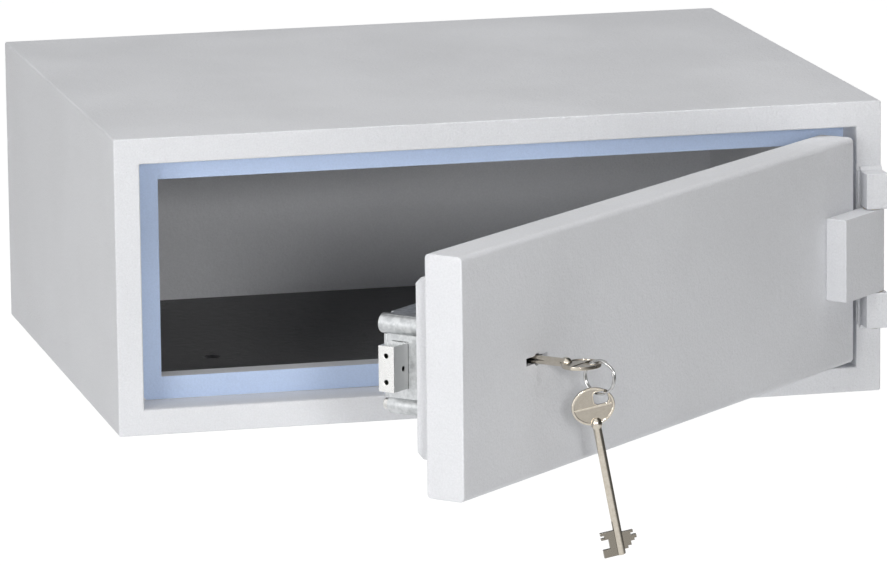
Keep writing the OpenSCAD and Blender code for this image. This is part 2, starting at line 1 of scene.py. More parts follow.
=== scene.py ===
"""Furniture safe, dressed: painted steel body and door, bare zinc lock, nickel keys on a split ring.

Lengths in the tables are millimetres, and become metres with MM or with a place such as
ON_DOOR. What is on the door is drawn as if the door were shut, and is then turned with it
about the hinge pin.
"""

import json
import math

import bmesh
import bpy
from mathutils import Matrix, Vector


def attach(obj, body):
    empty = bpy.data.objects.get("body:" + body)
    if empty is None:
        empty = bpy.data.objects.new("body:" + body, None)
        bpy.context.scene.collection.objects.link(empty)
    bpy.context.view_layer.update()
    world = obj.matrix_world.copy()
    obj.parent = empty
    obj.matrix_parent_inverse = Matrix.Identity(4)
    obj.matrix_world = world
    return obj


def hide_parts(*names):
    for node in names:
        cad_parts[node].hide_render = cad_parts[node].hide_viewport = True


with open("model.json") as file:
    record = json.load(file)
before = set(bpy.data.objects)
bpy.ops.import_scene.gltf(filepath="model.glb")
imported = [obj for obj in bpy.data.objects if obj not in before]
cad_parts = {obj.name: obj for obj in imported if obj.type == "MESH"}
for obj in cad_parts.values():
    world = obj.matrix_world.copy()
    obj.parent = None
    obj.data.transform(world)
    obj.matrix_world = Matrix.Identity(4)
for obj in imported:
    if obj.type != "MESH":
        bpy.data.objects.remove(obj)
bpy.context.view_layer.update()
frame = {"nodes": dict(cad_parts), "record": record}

MM = 0.001
# The front of the body and of the shut door, the hinge's axis, and the angle of the open door
FRONT_Y = -200.0
HINGE = (242.3, -207.8)
DOOR_OPEN = 43.5

# The key in the lock: its axis, and how far the end of its bow stands in front of the door
KEY_X, KEY_Z, KEY_OUT = -148.6, 93.2, 42.5
# A key's bow: its outline and the raised rim along it, and the sunk field inside
BOW_W, BOW_L, BOW_T, BOW_END_R, RIM_W = 26.4, 23.0, 2.2, 10.0, 1.5
FIELD_T, FIELD_IN = 1.3, 0.3
# The hole in the bow: its place to one side, the metal between it and the bow's edge, its size
# and the rim round it
HOLE_X, HOLE_EDGE, HOLE_W, HOLE_H, HOLE_CORNER = 5.5, 2.4, 9.0, 7.6, 2.4
HOLE_RIM, HOLE_RIM_T, HOLE_RIM_CORNER = 0.8, 1.8, 3.0
# The bar across the bow, and how far it is from the hole
BAR_W, BAR_H, BAR_T, BAR_CORNER, BAR_AWAY = 23.6, 1.3, 2.1, 0.6, 0.9
# The whole key, and the flat bits at its tip
KEY_LEN, BIT_T, BITS_HIGH = 104.0, 2.4, 15.5
# The split ring, its play in the bow, the spare key's play on it, and the way this key hangs
RING_R, WIRE_R, RING_FIT, HANG_FIT = 10.1, 0.7, 0.1, 1.0
SPARE_TURN, SPARE_LEAN = -46.0, 10.5
# Half the distance between the ring's two turns, in radii of its wire
TURNS_APART = 1.07

# The lock case: the ears at its two ends, and the plane of its cover
EAR_X = (-192.9, -115.9)
COVER_Y = -121.5
# Slotted screws: the shaft, the bevel at its end and the head
SHAFT_R, TIP, HEAD_R = 2.0, 0.6, 3.4
# The bar that cuts the slot, half of it sunk in the head, and the way it is turned
SLOT_CUTTER, SLOT_TURN = (9, 1.6, 0.9), 35
# Screws of each node: their places, the length of the shaft and the height of the head
SCREWS = {
    "lock_screws": [
        ([(x, COVER_Y - 3.5, 66.3) for x in EAR_X], 31.9, 4.5),
        ([(x, COVER_Y + 1.5, 115.3) for x in EAR_X], 36.9, 1.6),
    ],
    "cover_screws": [([(-126.9, COVER_Y, 116.8), (-154.6, COVER_Y, 66.3)], 9.4, 1.6)],
}
# The holes in the bolt's head: X, depth behind the door's front, Z, the way in and the length
BOLT_HOLES = [
    (-210.4, 66.8, 83.3, (1, 0, 0), 8.7),
    (-210.4, 66.8, 99.3, (1, 0, 0), 8.7),
    (-199.9, 61.3, 90.3, (0, 1, 0), 5.7),
]
# The middle of that head's side, where shade is painted
BOLT_FLANK = (-204.0, FRONT_Y + 61.3, 91.3)

# The hinge pin: its shaft, its head, the bevels of both, and how high the shaft reaches
PIN_R, PIN_HEAD_R, PIN_HEAD_H, PIN_EDGE, PIN_TIP = 4.0, 5.0, 1.2, 0.5, 0.6
PIN_LOW, PIN_HIGH = 44.65, 142.35

# Nodes that only get their edges rounded: the radius and the steps of the round
ROUNDED = {
    "lock_case": (0.35, 3),
    "lock_cover": (0.5, 3),
    "lock_bolt": (0.4, 2),
    "outer_shell": (1.0, 3),
    "rebate_frame": (0.7, 3),
    "stop_strip": (0.2, 2),
    "floor_mat": (0.6, 2),
    "hinge_block_upper": (0.5, 3),
    "hinge_block_lower": (0.5, 3),
    "door_panel": (0.9, 3),
    "door_inner_pan": (0.8, 3),
    "hinge_arm": (0.9, 3),
    "dog_bar": (0.8, 2),
    "bolt_keeper": (0.5, 2),
}
# Places on the door where edges stay as they are, each with its reach: where the lock's ears
# run into its case, round the keyhole, and round the arm's bore
KEPT_SHARP = {
    "lock_case": [(x, FRONT_Y + depth, 121.3, 2.5) for x in EAR_X for depth in (44, 76, 78.5, 80)],
    "door_panel": [(KEY_X, FRONT_Y, KEY_Z, 16)],
    "hinge_arm": [(HINGE[0], -208, 95, 29)],
}
# Degrees between two faces from which an edge is rounded, or shaded sharp, or up to which it goes
ROUND_FROM, SHARP_FROM, FLAT_UP_TO = 35, 32, 0.5
# How near two points are merged: in a CAD node, in metres, and in a plate, in millimetres
NODE_MERGE, PLATE_MERGE = 1e-6, 0.002
ARC_STEPS, CORNER_STEPS = 16, 5


# Places


def turn(axis, degrees):
    return Matrix.Rotation(math.radians(degrees), 4, axis)


def shift(x, y, z):
    return Matrix.Translation((x, y, z))


MILLIMETRES = Matrix.Scale(MM, 4)
ON_DOOR = MILLIMETRES @ shift(*HINGE, 0) @ turn("Z", DOOR_OPEN) @ shift(-HINGE[0], -HINGE[1], 0)

# The far edge of the hole above the bow's middle, and the ring's middle as it hangs in it
hole_far = BOW_L / 2 * math.sqrt(1 - (HOLE_X / (BOW_W / 2)) ** 2) - HOLE_EDGE
ring_inner = RING_R - WIRE_R
ring_x = KEY_X + HOLE_X
ring_y = FRONT_Y - KEY_OUT + BOW_L / 2 - hole_far - HOLE_EDGE / 2
ring_z = KEY_Z - (ring_inner - math.hypot(HOLE_EDGE, BOW_T) / 2 - RING_FIT)
AT_LOCK = ON_DOOR @ shift(KEY_X, FRONT_Y - KEY_OUT, KEY_Z) @ turn("X", 90)
AT_RING = ON_DOOR @ shift(ring_x, ring_y, ring_z)
AT_SPARE = (
    ON_DOOR
    @ shift(ring_x, ring_y, ring_z - ring_inner)
    @ turn("Z", SPARE_TURN)
    @ turn("Y", -SPARE_LEAN)
    @ shift(-HOLE_X, 0, BOW_L / 2 - hole_far + HANG_FIT)
)


# Node trees


def operator(operation):
    """The methods of an operator, for a socket on its left and on its right."""

    def left(socket, other):
        return socket.tree.maths(operation, socket, other)

    def right(socket, other):
        return socket.tree.maths(operation, other, socket)

    return left, right


class Socket:
    """An output in a node tree that takes part in sums."""

    def __init__(self, tree, socket):
        self.tree, self.socket = tree, socket

    __add__, __radd__ = operator("ADD")
    __sub__, __rsub__ = operator("SUBTRACT")
    __mul__, __rmul__ = operator("MULTIPLY")
    __truediv__, __rtruediv__ = operator("DIVIDE")


MIX_FACTOR, MIX_FIRST, MIX_SECOND, MIX_RESULT = 0, 6, 7, 2


class Tree:
    """A shader or geometry tree whose nodes are all made by one method."""

    def __init__(self, tree):
        self.tree = tree

    def node(self, kind, settings=None, inputs=None, out=0):
        """A new node, from its settings and the values or links of its inputs: one of its outputs."""
        made = self.tree.nodes.new(kind)
        for name, value in (settings or {}).items():
            setattr(made, name, value)
        for name, value in (inputs or {}).items():
            if isinstance(value, Socket):
                self.tree.links.new(value.socket, made.inputs[name])
            else:
                made.inputs[name].default_value = value
        return Socket(self, made.outputs[out]) if made.outputs else None

    def outputs(self, kind, inputs, *names):
        """Several outputs of one node."""
        made = self.node(kind, None, inputs).socket.node
        return [Socket(self, made.outputs[name]) for name in names]

    def maths(self, operation, *values):
        """A Math node on numbers and sockets."""
        return self.node("ShaderNodeMath", {"operation": operation}, dict(enumerate(values)))

    def vectors(self, operation, *values, out=0):
        """A Vector Math node on vectors and sockets."""
        return self.node("ShaderNodeVectorMath", {"operation": operation}, dict(enumerate(values)), out)

    def noise(self, where, per_metre, detail=2.0, rough=0.5):
        """A cloudy pattern of so many cells per metre."""
        inputs = {"Vector": where, "Scale": per_metre, "Detail": detail, "Roughness": rough}
        return self.node("ShaderNodeTexNoise", None, inputs)

    def spread(self, value, low, high, to_low=0.0, to_high=1.0):
        """value, drawn smoothly from low and high to two new ends, and held between them."""
        return self.node(
            "ShaderNodeMapRange",
            {"interpolation_type": "SMOOTHSTEP"},
            {"Value": value, "From Min": low, "From Max": high, "To Min": to_low, "To Max": to_high},
        )

    def mix(self, factor, first, second):
        """Two colours mixed. The node's sockets are given by number, as its colours share a name."""
        ends = [c if isinstance(c, Socket) else (*c, 1.0) for c in (first, second)]
        inputs = {MIX_FACTOR: factor, MIX_FIRST: ends[0], MIX_SECOND: ends[1]}
        return self.node("ShaderNodeMix", {"data_type": "RGBA"}, inputs, MIX_RESULT)

    def bump(self, height, depth, strength):
        """Relief of a depth in metres."""
        inputs = {"Strength": strength, "Distance": depth, "Height": height}
        return self.node("ShaderNodeBump", None, inputs)


# Finishes

SLOTS = {}
# Patterns of the finishes, in noise cells per metre, and the span of most of a noise's values
PEBBLE, SPECK, PEEL, DRIFT = 620, 900, 190, 9
FIBRE, TUFT = 1100, 160
NOISE_SPAN = (0.3, 0.7)
# Depths of their relief, in metres
PAINT_DEPTH, METAL_DEPTH, FIBRE_DEPTH = 0.0006, 0.0003, 0.0008


def finish(slot, constants):
    """The material of one slot: its tree, and a function that links the shader's sockets."""
    material = bpy.data.materials.new(slot)
    SLOTS[slot] = material
    material.use_nodes = True
    shader = material.node_tree.nodes["Principled BSDF"]
    for socket, value in constants.items():
        shader.inputs[socket].default_value = value
    tree = Tree(material.node_tree)

    def link(**sockets):
        for socket, value in sockets.items():
            material.node_tree.links.new(value.socket, shader.inputs[socket.replace("_", " ")])

    return tree, link


def shade(colour, factor):
    """A colour made darker or lighter."""
    return tuple(min(1.0, c * factor) for c in colour)


def powder_coat(slot, colour, grain=1.0):
    """Baked paint with a fine pebbled skin, and slow drifts of tone and gloss."""
    tree, link = finish(slot, {"IOR": 1.45})
    where = tree.node("ShaderNodeTexCoord", out="Object")
    pebble = tree.noise(where, PEBBLE, 3)
    peel = tree.noise(where, PEEL, 1)
    drift = tree.noise(where, DRIFT, 3)
    speck = tree.spread(tree.noise(where, SPECK, 3), *NOISE_SPAN)
    tone = tree.spread(drift, *NOISE_SPAN) * 0.5 + speck * 0.5
    link(
        Base_Color=tree.mix(tone, shade(colour, 0.94), shade(colour, 1.05)),
        Roughness=tree.spread(drift, 0.2, 0.8, 0.5, 0.6) + (pebble - 0.5) * 0.1,
        Normal=tree.bump(pebble + peel * 0.9, PAINT_DEPTH, 0.75 * grain),
    )


def bare_metal(slot, colour, dark, rough, cloud=260.0, grain=900.0, relief=0.12, patchy=0.1, painted_shade_fields=()):
    """Plated or bright metal: clouds of tone and gloss over a fine grain.

    Each field is a place of painted shade, a little rougher too: its centre, the way it faces, how far it
    reaches that way and all round, and its tone as a share of the dark one.
    """
    tree, link = finish(slot, {"Metallic": 1.0})
    where = tree.node("ShaderNodeTexCoord", out="Object")
    clouds = tree.spread(tree.noise(where, cloud, 4, 0.6), *NOISE_SPAN)
    fine = tree.noise(where, grain, 3)
    tone = tree.mix(clouds, dark, colour)
    level = clouds * -patchy + (rough + patchy * 0.8) + (fine - 0.5) * 0.1
    # Painted shade: each field draws the tone towards the dark colour, and makes it a little rougher
    for centre, facing, half, reach, share in painted_shade_fields:
        away = tree.vectors("SUBTRACT", where, centre)
        height = tree.maths("ABSOLUTE", tree.vectors("DOT_PRODUCT", away, facing, out="Value"))
        far = tree.vectors("LENGTH", away, out="Value")
        inside = tree.spread(height, half * 0.9, half * 1.15, 1, 0)
        inside = inside * tree.spread(far, reach * 0.95, reach, 1, 0)
        tone = tree.mix(inside, tone, shade(dark, share))
        level = level + inside * 0.12
    link(Base_Color=tone, Roughness=level, Normal=tree.bump(fine, METAL_DEPTH, relief))


def felt(slot, colour):
    """A dark floor mat of pressed fibres."""
    tree, link = finish(slot, {"Sheen Weight": 0.3})
    where = tree.node("ShaderNodeTexCoord", out="Object")
    fibre = tree.noise(where, FIBRE, 4, 0.7)
    tuft = tree.noise(where, TUFT, 3)
    tone = tree.spread(fibre * 0.7 + tuft * 0.3, 0.35, 0.65)
    link(
        Base_Color=tree.mix(tone, shade(colour, 0.6), shade(colour, 1.5)),
        Roughness=tree.spread(fibre, *NOISE_SPAN, 0.85, 1.0),
        Normal=tree.bump(fibre + tuft, FIBRE_DEPTH, 0.7),
    )


def field(place, centre, across, half, reach, share):
    """A field of painted shade for bare_metal, drawn in the axes of a place."""
    facing = (place.to_3x3() @ Vector(across)).normalized()
    return place @ Vector(centre), facing, half * MM, reach * MM, share


def painted_shade_in_bow(place):
    """Painted shade in the sunk field of a key's bow."""
    return field(place, (0, 0, -BOW_L / 2), (0, 1, 0), half=FIELD_T / 2, reach=13, share=0.62)


def painted_shade_on_bits(place):
    """Painted shade on the flat bits at a key's tip, darker than its shank."""
    centre = (0, 0, BITS_HIGH / 2 - KEY_LEN)
    return field(place, centre, (0, 1, 0), half=BIT_T / 2 + 0.3, reach=14, share=0.45)


def painted_shade_in_hole(x, depth, z, across, length):
    """Painted shade inside a hole in the bolt's head, from the middle of its mouth."""
    centre = Vector((x, FRONT_Y + depth, z)) + Vector(across) * (length / 2 + 0.3)
    reach = math.hypot(length / 2, 1.8)
    return field(ON_DOOR, centre, across, half=length / 2 * 0.87, reach=reach, share=0.12)


def painted_shade_on_flank():
    """Painted shade on the side of the bolt's head, which makes it greyer than the end."""
    return field(ON_DOOR, BOLT_FLANK, (0, 1, 0), half=0.35, reach=16, share=0.85)


PAINT = (0.745, 0.752, 0.775)
powder_coat("body_paint", PAINT)
powder_coat("frame_paint", shade(PAINT, 0.97), grain=0.8)
powder_coat("door_paint", PAINT, grain=0.8)
powder_coat("strip_paint", (0.5, 0.61, 0.82), grain=0.5)
felt("mat", (0.03, 0.03, 0.033))
bare_metal("zinc", (0.65, 0.665, 0.675), (0.46, 0.475, 0.485), rough=0.34)
bare_metal("bright_steel", (0.78, 0.78, 0.76), (0.6, 0.6, 0.59), rough=0.22)
bare_metal("hard_steel", (0.16, 0.16, 0.17), (0.08, 0.08, 0.09), rough=0.45)
bare_metal("brass", (0.62, 0.5, 0.3), (0.45, 0.36, 0.21), rough=0.4)
bare_metal("ring_steel", (0.6, 0.6, 0.59), (0.42, 0.42, 0.42), rough=0.14)
# Bolt steel, with painted shade on the side of its head and inside its holes
bare_metal(
    "bolt_steel",
    (0.9, 0.9, 0.89),
    (0.78, 0.78, 0.77),
    rough=0.24,
    painted_shade_fields=[painted_shade_on_flank(), *(painted_shade_in_hole(*hole) for hole in BOLT_HOLES)],
)
# Nickel of the keys, with painted shade in the sunk fields of the bows and on the spare key's bits
bare_metal(
    "key_nickel",
    (0.66, 0.61, 0.53),
    (0.58, 0.53, 0.45),
    rough=0.13,
    cloud=420,
    grain=1700,
    relief=0.05,
    patchy=0.03,
    painted_shade_fields=[painted_shade_in_bow(AT_LOCK), painted_shade_in_bow(AT_SPARE), painted_shade_on_bits(AT_SPARE)],
)

slot_of = {part["node"]: part["material_slot"] for part in frame["record"]["subparts"]}
body_of = {node: name for name, nodes in frame["record"]["behaviour"]["bodies"].items() for node in nodes}


# Shapes


def shown(name, mesh):
    """A new object in the scene."""
    thing = bpy.data.objects.new(name, mesh)
    bpy.context.scene.collection.objects.link(thing)
    return thing


def filled(name, work):
    """A new mesh with what was built, which is then closed."""
    mesh = bpy.data.meshes.new(name)
    work.to_mesh(mesh)
    work.free()
    return mesh


def box_mesh(name, place):
    """A cube of one unit, brought to its size and place by a matrix."""
    work = bmesh.new()
    bmesh.ops.create_cube(work, matrix=place)
    return filled(name, work)


def as_mesh(thing):
    """The evaluated mesh of an object that is then thrown away."""
    depsgraph = bpy.context.evaluated_depsgraph_get()
    mesh = bpy.data.meshes.new_from_object(thing.evaluated_get(depsgraph), depsgraph=depsgraph)
    bpy.data.objects.remove(thing)
    return mesh


def shaded(mesh):
    """Smooth shading that keeps the flat faces flat between their rounded edges."""
    mesh.polygons.foreach_set("use_smooth", [True] * len(mesh.polygons))
    mesh.set_sharp_from_angle(angle=math.radians(SHARP_FROM))
    thing = shown("shaded", mesh)
    weigh = thing.modifiers.new("weigh", "WEIGHTED_NORMAL")
    weigh.keep_sharp, weigh.weight, weigh.mode = True, 80, "FACE_AREA"
    return as_mesh(thing)


def piece(name, mesh, node):
    """Shows a finished mesh, on the body and in the finish of the CAD node it stands for."""
    mesh = shaded(mesh)
    mesh.name = name
    mesh.materials.clear()
    mesh.materials.append(SLOTS[slot_of[node]])
    made = shown(name, mesh)
    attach(made, body_of[node])
    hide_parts(node)


def soften(node, radius, steps, kept_sharp):
    """Rounds the edges of a copy of a CAD node, but for those near the places that stay sharp."""
    work = bmesh.new()
    work.from_mesh(frame["nodes"][node].data)
    bmesh.ops.remove_doubles(work, verts=work.verts, dist=NODE_MERGE)
    bmesh.ops.dissolve_limit(
        work,
        angle_limit=math.radians(FLAT_UP_TO),
        verts=work.verts,
        edges=work.edges,
        use_dissolve_boundaries=False,
    )
    kept = [(ON_DOOR @ Vector(place), reach * MM) for *place, reach in kept_sharp]
    edges = [
        edge
        for edge in work.edges
        if len(edge.link_faces) == 2
        and edge.calc_face_angle(0) > math.radians(ROUND_FROM)
        and all(min((vert.co - place).length for vert in edge.verts) > reach for place, reach in kept)
    ]
    bmesh.ops.bevel(
        work,
        geom=edges,
        offset=radius * MM,
        offset_type="OFFSET",
        segments=steps,
        profile=0.5,
        affect="EDGES",
        clamp_overlap=False,
    )
    bmesh.ops.triangulate(work, faces=[face for face in work.faces if len(face.verts) > 4])
    piece(node + "_dressed", filled(node + "_dressed", work), node)


def joined(name, meshes, place):
    """One mesh out of several, put in its place."""
    work = bmesh.new()
    for mesh in meshes:
        work.from_mesh(mesh)
        bpy.data.meshes.remove(mesh)
    work.transform(place)
    return filled(name, work)


def plate(outlines, thickness, edge):
    """A flat plate with rounded edges: its outlines are X and Z, and its thickness runs along Y."""
    curve = bpy.data.curves.new("plate", "CURVE")
    curve.dimensions, curve.fill_mode = "2D", "BOTH"
    curve.extrude, curve.bevel_depth, curve.offset = thickness / 2 - edge, edge, -edge
    curve.bevel_resolution = 2
    for outline in outlines:
        spline = curve.splines.new("POLY")
        spline.points.add(len(outline) - 1)
        for point, (x, z) in zip(spline.points, outline):
            point.co = (x, z, 0, 1)
        spline.use_cyclic_u = True
    mesh = as_mesh(shown("plate", curve))
    mesh.transform(turn("X", 90))
    work = bmesh.new()
    work.from_mesh(mesh)
    bpy.data.meshes.remove(mesh)
    bmesh.ops.remove_doubles(work, verts=work.verts, dist=PLATE_MERGE)
    return filled("plate", work)


def lathe(profile, sides=48):
    """A shape turned about Z from a list of radii and heights that starts and ends on the axis."""
    work = bmesh.new()
    rings = []
    for radius, height in profile:
        if radius == 0:
            rings.append([work.verts.new((0, 0, height))] * sides)
            continue
        angles = [2 * math.pi * side / sides for side in range(sides)]
        rings.append([work.verts.new((radius * math.cos(a), radius * math.sin(a), height)) for a in angles])
    for low, high in zip(rings, rings[1:]):
        for side in range(sides):
            after = (side + 1) % sides
            corners = [low[side], low[after], high[after], high[side]]
            work.faces.new(list(dict.fromkeys(corners)))
    bmesh.ops.recalc_face_normals(work, faces=work.faces)
    return filled("lathe", work)


def grown(name, inputs, build, material, start=None):
    """Runs a Geometry Nodes tree with named inputs on a mesh or on none, for the plain mesh."""
    group = bpy.data.node_groups.new(name, "GeometryNodeTree")
    group.interface.new_socket("Geometry", in_out="INPUT", socket_type="NodeSocketGeometry")
    group.interface.new_socket("Geometry", in_out="OUTPUT", socket_type="NodeSocketGeometry")
    kinds = {float: "NodeSocketFloat", int: "NodeSocketInt"}
    sockets = {}
    for title, value in inputs.items():
        kind = kinds.get(type(value), "NodeSocketObject")
        sockets[title] = group.interface.new_socket(title, in_out="INPUT", socket_type=kind)
    tree = Tree(group)
    titles = ["Geometry", *inputs]
    given = dict(zip(titles, tree.outputs("NodeGroupInput", None, *titles)))
    real = tree.node("GeometryNodeRealizeInstances", None, {0: build(tree, given)})
    dressed = tree.node("GeometryNodeSetMaterial", None, {0: real, "Material": material})
    tree.node("NodeGroupOutput", None, {0: dressed})
    thing = shown(name, start or bpy.data.meshes.new(name))
    modifier = thing.modifiers.new(name, "NODES")
    modifier.node_group = group
    for title, value in inputs.items():
        modifier[sockets[title].identifier] = value
    return as_mesh(thing)


# Keys


def oval(inset):
    """The bow's outline of four arcs, drawn in by an inset."""
    end_x = BOW_W / 2 - BOW_END_R
    half = BOW_L / 2
    flank_r = (end_x**2 + half**2 - BOW_END_R**2) / (2 * (half - BOW_END_R))
    drop = flank_r - half
    join = math.degrees(math.atan2(drop, end_x))
    arcs = [
        (end_x, 0, BOW_END_R, -join, join),
        (0, -drop, flank_r, join, 180 - join),
        (-end_x, 0, BOW_END_R, 180 - join, 180 + join),
        (0, drop, flank_r, 180 + join, 360 - join),
    ]
    points = []
    for x, z, radius, first, last in arcs:
        for step in range(ARC_STEPS):
            angle = math.radians(first + (last - first) * step / ARC_STEPS)
            points.append((x + (radius - inset) * math.cos(angle), z + (radius - inset) * math.sin(angle)))
    return points


def round_box(x, z, width, height, corner):
    """A rectangle with round corners, as points."""
    points = []
    for number, (side, up) in enumerate([(1, 1), (-1, 1), (-1, -1), (1, -1)]):
        middle_x = x + side * (width / 2 - corner)
        middle_z = z + up * (height / 2 - corner)
        for step in range(CORNER_STEPS + 1):
            angle = math.radians(90 * number + 90 * step / CORNER_STEPS)
            points.append((middle_x + corner * math.cos(angle), middle_z + corner * math.sin(angle)))
    return points


# The outline of both bits, as X and a height above the key's tip
BITS = [
    (-10.7, 0), (-10.7, 5), (-6.3, 5), (-6.3, 11), (-10.7, 11), (-10.7, 12.2), (-8.5, 12.2),
    (-8.5, 13.7), (-10.7, 13.7), (-10.7, BITS_HIGH), (0, BITS_HIGH), (0, 13.5), (9.1, 13.5),
    (9.1, 12), (7.4, 12), (7.4, 10.5), (10.7, 10.5), (10.7, 8.3), (9.2, 8.3), (9.2, 7), (6.9, 7),
    (6.9, 4.5), (4.7, 4.5), (4.7, 3), (0, 3), (0, 0),
]
# The ball collar and the shank, as radius and height, from the bow down to the tip
SHANK = [
    (0, -18.6), (1.7, -18.8), (2.9, -19.9), (3.4, -21.2), (3.5, -22.4), (3.35, -23.4), (2.9, -24.3),
    (2.6, -25.4), (2.6, -60), (2.6, 0.5 - KEY_LEN), (2.2, -KEY_LEN), (0, -KEY_LEN),
]


def key_mesh(name, place):
    """A double-bit key: a bow with a raised rim and bar, a ball collar, a shank and stepped bits."""
    hole_z = hole_far - HOLE_H / 2
    hole = round_box(HOLE_X, hole_z, HOLE_W, HOLE_H, HOLE_CORNER)
    rim_w, rim_h = HOLE_W + 2 * HOLE_RIM, HOLE_H + 2 * HOLE_RIM
    hole_rim = round_box(HOLE_X, hole_z, rim_w, rim_h, HOLE_RIM_CORNER)
    bar = round_box(0, hole_far - HOLE_H - BAR_AWAY, BAR_W, BAR_H, BAR_CORNER)
    parts = [
        plate([oval(FIELD_IN), hole], FIELD_T, edge=0.1),
        plate([oval(0), oval(RIM_W)], BOW_T, edge=0.35),
        plate([bar], BAR_T, edge=0.3),
        plate([hole_rim, hole], HOLE_RIM_T, edge=0.2),
    ]
    for part in parts:
        part.transform(shift(0, 0, -BOW_L / 2))
    bits = plate([BITS], BIT_T, edge=0.15)
    bits.transform(shift(0, 0, -KEY_LEN))
    return joined(name, [*parts, bits, lathe(SHANK)], place)


def split_ring(tree, given):
    """Two turns of wire that lie side by side and cross over once."""
    points = tree.node("GeometryNodeCurvePrimitiveLine")
    points = tree.node("GeometryNodeResampleCurve", None, {0: points, "Count": given["Points"]})
    share = tree.node("GeometryNodeInputIndex") / (given["Points"] - 1)
    turns = share * (2 - given["Gap"] * 2) + given["Gap"]
    angle = turns * (2 * math.pi) + given["Start"]
    apart = given["Wire"] * TURNS_APART
    side = tree.spread(turns, 1 - given["Gap"], 1 + given["Gap"], apart * -1, apart)
    across = tree.maths("COSINE", angle) * given["Radius"]
    up = tree.maths("SINE", angle) * given["Radius"]
    place = tree.node("ShaderNodeCombineXYZ", None, {0: side, 1: across, 2: up})
    path = tree.node("GeometryNodeSetPosition", None, {0: points, "Position": place})
    section = {"Resolution": 16, "Radius": given["Wire"]}
    profile = tree.node("GeometryNodeCurvePrimitiveCircle", None, section)
    return tree.node("GeometryNodeCurveToMesh", None, {0: path, 1: profile, "Fill Caps": True})


piece("key_in_lock", key_mesh("key_in_lock", AT_LOCK), "key")
piece("spare_key_dressed", key_mesh("spare_key_dressed", AT_SPARE), "spare_key")
ring_inputs = {"Radius": RING_R, "Wire": WIRE_R, "Gap": 0.06, "Start": 2.4, "Points": 260}
ring = grown("split_ring", ring_inputs, split_ring, SLOTS["ring_steel"])
piece("split_ring", joined("split_ring", [ring], AT_RING), "key_ring")


# Lock


def one_on_each(tree, given):
    """One screw on each point."""
    screw = tree.node("GeometryNodeObjectInfo", None, {"Object": given["Screw"]}, out="Geometry")
    inputs = {"Points": given["Geometry"], "Instance": screw}
    return tree.node("GeometryNodeInstanceOnPoints", None, inputs)


def screw_mesh(length, head_h):
    """A slotted screw with a rounded head that faces back."""
    profile = [
        (0, head_h),
        (HEAD_R - 0.9, head_h - 0.12),
        (HEAD_R - 0.35, head_h - 0.5),
        (HEAD_R, head_h - 1.0),
        (HEAD_R, 0),
        (SHAFT_R, 0),
        (SHAFT_R, TIP - length),
        (SHAFT_R - TIP, -length),
        (0, -length),
    ]
    body = lathe(profile, sides=32)
    body.transform(turn("X", -90))
    screw = shown("screw", body)
    slot_place = shift(0, head_h, 0) @ turn("Y", SLOT_TURN) @ Matrix.Diagonal((*SLOT_CUTTER, 1))
    cutter = shown("slot", box_mesh("slot", slot_place))
    cut = screw.modifiers.new("slot", "BOOLEAN")
    cut.object, cut.operation, cut.solver = cutter, "DIFFERENCE", "EXACT"
    mesh = as_mesh(screw)
    bpy.data.objects.remove(cutter)
    return mesh


for node, groups in SCREWS.items():
    meshes = []
    for places, length, head_h in groups:
        screw = shown("screw", screw_mesh(length, head_h))
        points = bpy.data.meshes.new("places")
        points.from_pydata(places, [], [])
        meshes.append(grown(node, {"Screw": screw}, one_on_each, SLOTS[slot_of[node]], points))
        bpy.data.objects.remove(screw)
    piece(node + "_dressed", joined(node + "_dressed", meshes, ON_DOOR), node)


# Sheet metal and solid steel

for node, (radius, steps) in ROUNDED.items():
    soften(node, radius, steps, KEPT_SHARP.get(node, ()))

pin = lathe(
    [
        (0, PIN_LOW - PIN_HEAD_H),
        (PIN_HEAD_R - PIN_EDGE, PIN_LOW - PIN_HEAD_H),
        (PIN_HEAD_R, PIN_LOW - PIN_HEAD_H + PIN_EDGE),
        (PIN_HEAD_R, PIN_LOW),
        (PIN_R, PIN_LOW),
        (PIN_R, PIN_HIGH - PIN_TIP),
        (PIN_R - PIN_TIP, PIN_HIGH),
        (0, PIN_HIGH),
    ]
)
pin_place = MILLIMETRES @ shift(*HINGE, 0)
piece("hinge_pin_dressed", joined("hinge_pin_dressed", [pin], pin_place), "hinge_pin")

for node, thing in frame["nodes"].items():
    thing.data.materials.clear()
    thing.data.materials.append(SLOTS[slot_of[node]])


# Stage, light and camera, in metres

HIDDEN_FLOOR = -0.075
PLINTH_LOW, PLINTH_HIGH = (-0.235, -0.17, HIDDEN_FLOOR), (0.235, 0.19, 0)
FLOOR_HALF, FLOOR_T = 6, 0.01
# How bright the floor looks to the camera, and its share of glow there and in gloss
FLOOR_WHITE, GLOW_SEEN, GLOW_MIRRORED = 1.12, 0.85, 0.9
# How bright the sky looks to the camera, and how much light it gives
SKY_WHITE, AMBIENT = 1.1, 0.16
# The point that the lamps face
AIM = Vector((0, -0.15, 0.08))


def stage_slab(name, low, high, material):
    """A box between two corners that belongs to the stage."""
    centre = [(a + b) / 2 for a, b in zip(low, high)]
    size = [b - a for a, b in zip(low, high)]
    mesh = box_mesh(name, Matrix.Translation(centre) @ Matrix.Diagonal((*size, 1)))
    mesh.materials.append(material)
    shown(name, mesh)


